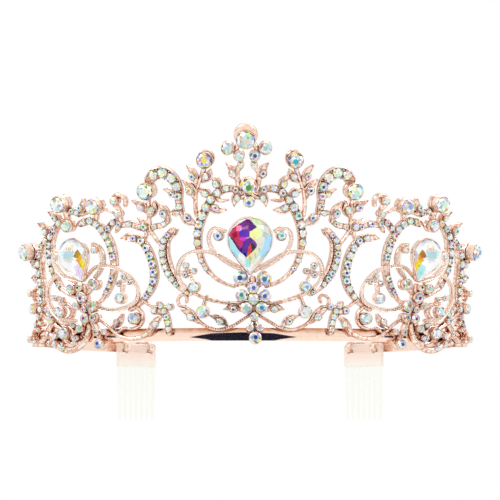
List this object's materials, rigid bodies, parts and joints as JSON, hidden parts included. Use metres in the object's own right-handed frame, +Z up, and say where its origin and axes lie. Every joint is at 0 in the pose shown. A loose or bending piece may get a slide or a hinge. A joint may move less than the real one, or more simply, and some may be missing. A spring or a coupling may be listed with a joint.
{
  "type": "bridal tiara",
  "caption": "Rose gold bridal tiara with an openwork crown of scrolls and leaves set with cut crystals, an open headband and hinged clear side combs.",
  "frame": {"origin": "centre of the ring's widest line, on the plane of the headband's lower edge", "axes": "+X to the right of a viewer who faces the front, +Y from the front to the back of the head, +Z up the crown"},
  "size_m": [0.1324, 0.1268, 0.0784],
  "materials": {
    "rose_gold": "rose gold plate, satin on the cups and polished on the wires",
    "crystal": "cut crystal with a rainbow coating",
    "clear_plastic": "clear moulded plastic"
  },
  "bodies": {
    "tiara": {"headband": "rose_gold", "center_frame": "rose_gold", "center_cradle": "rose_gold", "center_foot": "rose_gold", "left_spray": "rose_gold", "right_spray": "rose_gold", "left_plume": "rose_gold", "right_plume": "rose_gold", "left_crescent": "rose_gold", "right_crescent": "rose_gold", "left_side_frame": "rose_gold", "right_side_frame": "rose_gold", "left_side_foot": "rose_gold", "right_side_foot": "rose_gold", "left_end_scroll": "rose_gold", "right_end_scroll": "rose_gold", "left_curl": "rose_gold", "right_curl": "rose_gold", "left_side_curl": "rose_gold", "right_side_curl": "rose_gold", "left_hem": "rose_gold", "right_hem": "rose_gold", "center_cups": "rose_gold", "left_cups": "rose_gold", "right_cups": "rose_gold", "center_rounds": "crystal", "left_rounds": "crystal", "right_rounds": "crystal", "center_pear_setting": "rose_gold", "left_pear_setting": "rose_gold", "right_pear_setting": "rose_gold", "center_pear": "crystal", "left_pear": "crystal", "right_pear": "crystal", "frame_stones": "crystal", "cradle_stones": "crystal", "foot_stones": "crystal", "left_spray_stones": "crystal", "right_spray_stones": "crystal", "left_plume_stones": "crystal", "right_plume_stones": "crystal", "left_crescent_stones": "crystal", "right_crescent_stones": "crystal", "left_side_stones": "crystal", "right_side_stones": "crystal", "left_end_stones": "crystal", "right_end_stones": "crystal", "left_hem_stones": "crystal", "right_hem_stones": "crystal", "left_comb_loops": "rose_gold", "right_comb_loops": "rose_gold"},
    "left_comb": {"left_comb": "clear_plastic"},
    "right_comb": {"right_comb": "clear_plastic"}
  },
  "joints": [
    {"name": "left_comb_hinge", "type": "hinge", "parent": "tiara", "child": "left_comb", "pos_m": [-0.03687, 0.06289, 0.00392], "axis": [-0.6507, -0.7591, -0.0159], "range_deg": [-20, 50]},
    {"name": "right_comb_hinge", "type": "hinge", "parent": "tiara", "child": "right_comb", "pos_m": [0.03687, 0.06289, 0.00392], "axis": [-0.6507, 0.7591, 0.0159], "range_deg": [-20, 50]}
  ]
}
